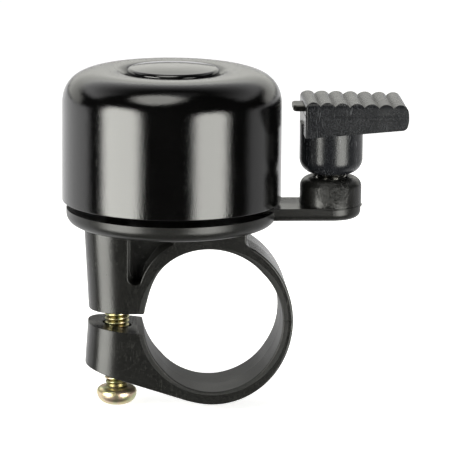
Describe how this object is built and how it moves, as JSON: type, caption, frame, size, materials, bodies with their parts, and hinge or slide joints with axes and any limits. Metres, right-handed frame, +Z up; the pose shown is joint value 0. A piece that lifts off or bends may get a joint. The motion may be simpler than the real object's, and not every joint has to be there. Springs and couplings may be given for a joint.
{
  "type": "bicycle bell",
  "caption": "Handlebar bell: pressed steel gong on a moulded bracket with a screw-closed band clamp, rung by a spring-mounted ridged thumb lever.",
  "frame": {"origin": "on the axis of the handlebar, midway along the clamp", "axes": "+Y along the handlebar, +X from the bell towards the striker lever, +Z up from the clamp to the gong"},
  "size_m": [0.0547, 0.035, 0.0552],
  "materials": {
    "gong_enamel": "gloss black stoving enamel on pressed steel",
    "cap_plastic": "polished black moulded cap",
    "clamp_nylon": "satin black moulded nylon",
    "lever_nylon": "satin black moulded nylon",
    "yellow_zinc": "bright steel with yellow passivated zinc plate",
    "bright_zinc": "bright zinc-plated steel",
    "spring_steel": "drawn spring steel wire",
    "blade_steel": "black oxide steel",
    "seat_rubber": "black rubber"
  },
  "bodies": {
    "bracket": {"bracket": "clamp_nylon", "gong_dome": "gong_enamel", "dome_cap": "cap_plastic", "dome_screw": "bright_zinc", "dome_washer": "bright_zinc", "dome_seat_ring": "seat_rubber", "clamp_nut": "bright_zinc"},
    "clamp_screw": {"clamp_screw": "yellow_zinc"},
    "clamp_jaw": {"clamp_jaw": "clamp_nylon"},
    "striker_spring": {"striker_spring": "spring_steel"},
    "striker_lever": {"striker_lever": "lever_nylon", "striker_blade": "blade_steel"}
  },
  "joints": [
    {"name": "screw_feed", "type": "slide", "parent": "bracket", "child": "clamp_screw", "axis": [0, 0, 1], "range_m": [0, 0.0022]},
    {"name": "jaw_close", "type": "hinge", "parent": "bracket", "child": "clamp_jaw", "pos_m": [0.0111, 0, 0], "axis": [0, 1, 0], "range_deg": [0, 2.2], "stiffness_Nm_per_rad": 0.7},
    {"name": "lever_sway", "type": "hinge", "parent": "bracket", "child": "striker_spring", "pos_m": [0.01895, 0, 0.0228], "axis": [1, 0, 0], "range_deg": [-4, 4], "stiffness_Nm_per_rad": 0.25, "deforming": ["striker_spring"]},
    {"name": "lever_flick", "type": "hinge", "parent": "striker_spring", "child": "striker_lever", "pos_m": [0.01945, 0, 0.0228], "axis": [0, 1, 0], "range_deg": [-8.7, 11.5], "stiffness_Nm_per_rad": 0.25, "deforming": ["striker_spring"]}
  ],
  "couplings": [
    {"joint": "jaw_close", "follows": "screw_feed", "rad_per_m": 17.3}
  ]
}
